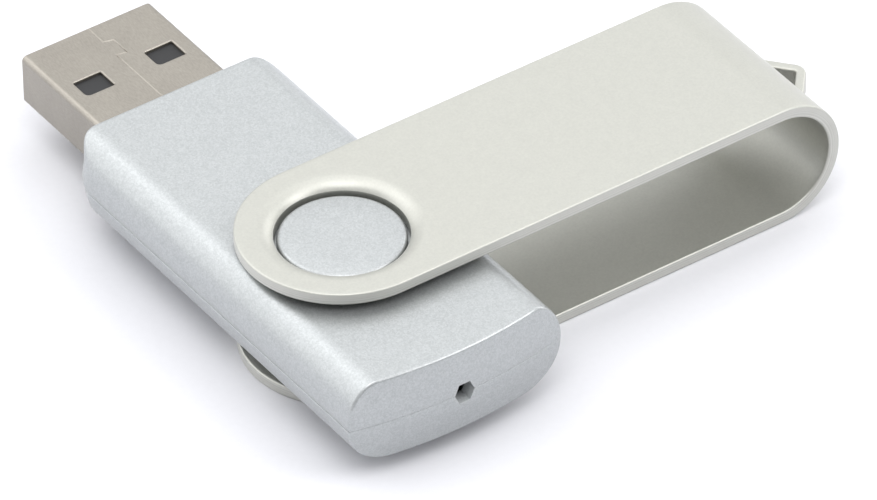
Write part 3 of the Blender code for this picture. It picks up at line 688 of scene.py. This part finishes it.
# Drawn collar of each hole, from the roll of the upper face round to the lower one
foot = -SHEET / 2 - COLLAR_DROP
collar = np.concatenate([
    arc(lip_start, SHEET / 2 - LIP_R, LIP_R, 90, 90 + math.degrees(sweep), steps=12),
    arc(HOLE_R + COLLAR_RIM, foot + COLLAR_RIM, COLLAR_RIM, 180, 270, steps=4),
    arc(HOLE_R + COLLAR_WALL - COLLAR_RIM, foot + COLLAR_RIM, COLLAR_RIM, -90, 0, steps=4),
    arc(flare_end, -SHEET / 2 - COLLAR_FLARE, COLLAR_FLARE, 180, 90, steps=5)])
radius = collar[:, :1]
for home, way in holes:
    patches.append(bend(radius * np.sin(ray), home + way * radius * np.cos(ray), collar[:, 1:]))

# Rounded edge all round the strip, past one end, up a side, past the other end and down.
# An end takes all the rays but the quarter turn that faces the other hole
end_rays = np.r_[5 * RAYS // 8:RAYS + 1, 1:3 * RAYS // 8 + 1]
end_way = ray[end_rays]
end_u = reach[end_rays] * np.sin(end_way)
end_s = reach[end_rays] * np.cos(end_way)
round_end = np.cos(end_way) < 0
out_u = np.where(round_end, np.sin(end_way), np.sign(end_u))
out_s = np.where(round_end, np.cos(end_way), 0)
sides = stations[1:-1]
ones = np.ones(len(sides))
loop_u = np.concatenate([end_u, -half * ones, end_u[::-1], half * ones, end_u[:1]])
loop_s = np.concatenate([end_s, sides, STRIP - end_s[::-1], sides[::-1], end_s[:1]])
loop_out_u = np.concatenate([out_u, -ones, out_u[::-1], ones, out_u[:1]])
loop_out_s = np.concatenate([out_s, 0 * ones, -out_s[::-1], 0 * ones, out_s[:1]])
roll = np.radians(np.linspace(0, 90, EDGE_STEPS + 1))
push = SHEET_EDGE * np.sin(roll)
lift = SHEET / 2 - SHEET_EDGE + SHEET_EDGE * np.cos(roll)
push = np.concatenate([push, push[::-1]])[:, None]
lift = np.concatenate([lift, -lift[::-1]])[:, None]
patches.append(bend(loop_u + loop_out_u * push, loop_s + loop_out_s * push, lift))
cover = skin("cover_strip", *patches)

# The eye: its slot is cut through the bend, and the lanced band stands out of it in a blunt point
half_band = EYE_THICK / 2
bend_mid = EYE_ROUND + half_band
round_y = EYE_TIP - bend_mid - half_band
root_y = COVER_REACH - SHEET * EYE_ROOT
root_x = (round_y + bend_mid / math.sin(EYE_LEAN) - root_y) * math.tan(EYE_LEAN)
slot_x = root_x - half_band * math.sin(EYE_LEAN) - EYE_SLOT_IN
slot_z = EYE_BAND / 2 + EYE_KERF
ring = rounded(slot_x, slot_z, [EYE_SLOT_R] * 4, steps=4)
rows = [np.column_stack([ring[:, 0], np.full(len(ring), y), ring[:, 1] + MID])
        for y in (COVER_REACH - 2 * SHEET, EYE_TIP)]
carve(cover, bar("eye_slot", rows), "DIFFERENCE")
eye_lean = math.degrees(EYE_LEAN)
turn_in = arc(0, round_y, bend_mid, 90 - eye_lean, 90 + eye_lean, steps=16)
eye_line = np.concatenate([[(root_x, root_y)], turn_in, [(-root_x, root_y)]])
leg = np.array([math.sin(EYE_LEAN), math.cos(EYE_LEAN)])
outward = np.concatenate([[leg], (turn_in - (0, round_y)) / bend_mid, [leg * (-1, 1)]])
section = rounded(half_band, EYE_BAND / 2, [SHEET_EDGE] * 4, steps=5)
rows = [np.column_stack([spot + way * section[:, :1], section[:, 1] + MID])
        for spot, way in zip(eye_line, outward)]
carve(cover, bar("eye_band", rows), "UNION")

# Blasting before anodising leaves a fine even tooth, drawn coarser than it is so that it shows,
# which the sealed oxide turns satin
satin, tree, shader, mm = finish("satin_anodised_aluminium", {"Metallic": 0.9})
tooth = add(tree, "ShaderNodeTexNoise", {"Vector": mm, "Scale": 1 / BLAST, "Detail": 2.0})["Fac"]
cloud = add(tree, "ShaderNodeTexNoise", {"Vector": mm, "Scale": 1 / CLOUD, "Detail": 4.0})["Fac"]
tone = add(tree, "ShaderNodeMath", {0: cloud, 1: CLOUD_SHARE, 2: tooth}, operation="MULTIPLY_ADD")["Value"]
share = add(tree, "ShaderNodeMapRange", {"Value": tone, "From Min": 0.3, "From Max": 1.0})["Result"]
face = add(tree, "ShaderNodeMix", {0: share, 6: linear(ALUMINIUM[0]), 7: linear(ALUMINIUM[1])},
           data_type="RGBA")[2]

# Blanking leaves the cut edges torn in fine lines that follow the sheet along its arms and round its bend.
# They are drawn coarser than they are, and are paler and rougher than the faces.
# The depth into the sheet is the height from the hub on the arms, and the distance from it on the bend
hub = (PIVOT / MM + (0, BEND_START, MID)).tolist()
from_hub = add(tree, "ShaderNodeVectorMath", {0: mm, 1: hub}, operation="SUBTRACT")["Vector"]
past_hub = add(tree, "ShaderNodeVectorMath", {0: from_hub, 1: (NO_LIMIT, 0, NO_LIMIT)},
               operation="MAXIMUM")["Vector"]
past_hub = add(tree, "ShaderNodeVectorMath", {0: past_hub, 1: (0, 1, 1)}, operation="MULTIPLY")["Vector"]
depth = add(tree, "ShaderNodeVectorMath", {0: past_hub}, operation="LENGTH")["Value"]
tear = add(tree, "ShaderNodeTexNoise", {"W": depth, "Scale": 1 / SHEAR, "Detail": 2.0},
           noise_dimensions="1D")["Fac"]
torn = add(tree, "ShaderNodeMix", {0: tear, 6: linear(SHEARED[0]), 7: linear(SHEARED[1])},
           data_type="RGBA")[2]

# A cut edge stands upright on the arms and faces sideways on the bend, and the drawn collars have none
normal = add(tree, "ShaderNodeTexCoord", {})["Normal"]
facing = add(tree, "ShaderNodeVectorMath", {0: normal}, operation="ABSOLUTE")["Vector"]
facing = add(tree, "ShaderNodeSeparateXYZ", {0: facing})
on_bend = add(tree, "ShaderNodeSeparateXYZ", {0: from_hub})["Y"]
on_bend = add(tree, "ShaderNodeMath", {0: on_bend, 1: 0.0}, operation="GREATER_THAN")["Value"]
upright = add(tree, "ShaderNodeMapRange", {
    "Value": facing["Z"], "From Min": UPRIGHT[0], "From Max": UPRIGHT[1]})["Result"]
sideways = add(tree, "ShaderNodeMapRange", {
    "Value": facing["X"], "From Min": SIDEWAYS[0], "From Max": SIDEWAYS[1]})["Result"]
cut = add(tree, "ShaderNodeMix", {0: on_bend, 2: upright, 3: sideways})[0]
axis_foot = (PIVOT / MM).tolist()
from_axis = add(tree, "ShaderNodeVectorMath", {0: mm, 1: axis_foot}, operation="SUBTRACT")["Vector"]
from_axis = add(tree, "ShaderNodeVectorMath", {0: from_axis, 1: (1, 1, 0)}, operation="MULTIPLY")["Vector"]
from_axis = add(tree, "ShaderNodeVectorMath", {0: from_axis}, operation="LENGTH")["Value"]
in_collar = add(tree, "ShaderNodeMapRange", {
    "Value": from_axis, "From Min": COLLAR_REACH[1], "From Max": COLLAR_REACH[0]})["Result"]
cut = add(tree, "ShaderNodeMix", {0: in_collar, 2: cut, 3: 0.0})[0]
colour = add(tree, "ShaderNodeMix", {0: cut, 6: face, 7: torn}, data_type="RGBA")[2]
satin_rough = add(tree, "ShaderNodeMapRange", {"Value": tooth, "To Min": 0.4, "To Max": 0.52})["Result"]
rough = add(tree, "ShaderNodeMix", {0: cut, 2: satin_rough, 3: 0.75})[0]
bump = add(tree, "ShaderNodeBump", {"Strength": 0.3, "Distance": 0.00001, "Height": tooth})["Normal"]
wire(tree, shader, {"Base Color": colour, "Roughness": rough, "Normal": bump})
fit(cover, satin, "cover", "swivel_cover")


# Studio: a sheet of white paper under a large overhead softbox and five smaller ones, in a pale room.
# The camera looks down on the tail and the near edge of the cover through a long lens.

PAPER = ("#dcdce0", "#e0e0e4")
PAPER_FIBRE = 0.6
FLOOR_HALF = 3000.0
FLOOR_THICK = 5.0
ROOM = "#f4f5f6"
ROOM_LEVEL = (1.2, 0.46)
ROOM_DIM_SIDE = (1.0, 0.0, 0.0)
VIEW_TURN = math.radians(55.994)
VIEW_RISE = math.radians(38.776)
VIEW_ROLL = math.radians(-1.222)
VIEW_AWAY = 834.0
VIEW_RIGHT = 7.108
VIEW_UP = 6.739
FRAME_W = 877
FOCAL_PX = 10971.9
FILM_W = 36.0

corners = ((-1, -1), (1, -1), (1, 1), (-1, 1), (-1, -1))
floor = bar("paper_floor", [[(x * FLOOR_HALF, y * FLOOR_HALF, z) for x, y in corners]
                            for z in (0, -FLOOR_THICK)])

# Uncoated paper is matt, with a faint cloud of fibres
paper, tree, shader, mm = finish("matt_white_paper", {"Roughness": 0.9, "Specular IOR Level": 0.1})
fibre = add(tree, "ShaderNodeTexNoise", {"Vector": mm, "Scale": 1 / PAPER_FIBRE, "Detail": 3.0})["Fac"]
colour = add(tree, "ShaderNodeMix", {0: fibre, 6: linear(PAPER[0]), 7: linear(PAPER[1])}, data_type="RGBA")[2]
wire(tree, shader, {"Base Color": colour})
floor.data.materials.append(paper)

# The room is bright on the plug's side and darker on the tail's
world = bpy.data.worlds.new("pale_room")
world.use_nodes = True
tree = world.node_tree
heading = add(tree, "ShaderNodeTexCoord", {})["Generated"]
tailward = add(tree, "ShaderNodeVectorMath", {0: heading, 1: ROOM_DIM_SIDE}, operation="DOT_PRODUCT")["Value"]
glow = add(tree, "ShaderNodeMapRange", {
    "Value": tailward, "From Min": -1.0, "From Max": 1.0, "To Min": ROOM_LEVEL[0],
    "To Max": ROOM_LEVEL[1]})["Result"]
wire(tree, tree.nodes["Background"], {"Color": linear(ROOM), "Strength": glow})
bpy.context.scene.world = world

# Softboxes: name, side in metres, power in watts and place; each faces the origin
SOFTBOXES = (("overhead", 1.00, 2.85, (-0.10, -0.02, 0.64)),
             ("left_front", 0.90, 2.2, (-0.55, -0.45, 0.45)),
             ("right_back", 0.50, 3.2, (0.58, 0.48, 0.62)),
             ("above_camera", 0.45, 1.7, (0.285, -0.217, 0.80)),
             ("back", 0.55, 1.5, (-0.12, 0.80, 0.30)),
             ("back_left", 0.40, 0.25, (-0.48, 0.66, 0.36)))
for name, width, power, place in SOFTBOXES:
    box = bpy.data.lights.new(name, "AREA")
    box.shape = "SQUARE"
    box.size = width
    box.energy = power
    lamp = bpy.data.objects.new(name, box)
    bpy.context.scene.collection.objects.link(lamp)
    inwards = -np.array(place) / np.linalg.norm(place)
    lamp.rotation_euler = Vector(inwards).to_track_quat("-Z", "Y").to_euler()
    lamp.location = place

# The camera was fitted to the straight edges and round outlines of the photo.
# Its distance and its shifts are measured from the foot of the pivot axis
right = np.array([math.cos(VIEW_TURN), math.sin(VIEW_TURN), 0])
level_out = np.array([math.sin(VIEW_TURN), -math.cos(VIEW_TURN), 0])
toward = level_out * math.cos(VIEW_RISE) + np.array([0, 0, math.sin(VIEW_RISE)])
up = np.cross(toward, right)
view_x = right * math.cos(VIEW_ROLL) + up * math.sin(VIEW_ROLL)
view_y = up * math.cos(VIEW_ROLL) - right * math.sin(VIEW_ROLL)
stand = (view_x * VIEW_RIGHT + view_y * VIEW_UP + toward * VIEW_AWAY) * MM + PIVOT
film = bpy.data.cameras.new("camera")
film.sensor_fit = "HORIZONTAL"
film.sensor_width = FILM_W
film.lens = FOCAL_PX * FILM_W / FRAME_W
film.clip_start = 0.01
film.clip_end = 50.0
camera = bpy.data.objects.new("camera", film)
turned = np.column_stack([view_x, view_y, toward, stand])
camera.matrix_world = Matrix([*turned.tolist(), [0, 0, 0, 1]])
bpy.context.scene.collection.objects.link(camera)
bpy.context.scene.camera = camera
bpy.context.scene.view_settings.view_transform = "Standard"
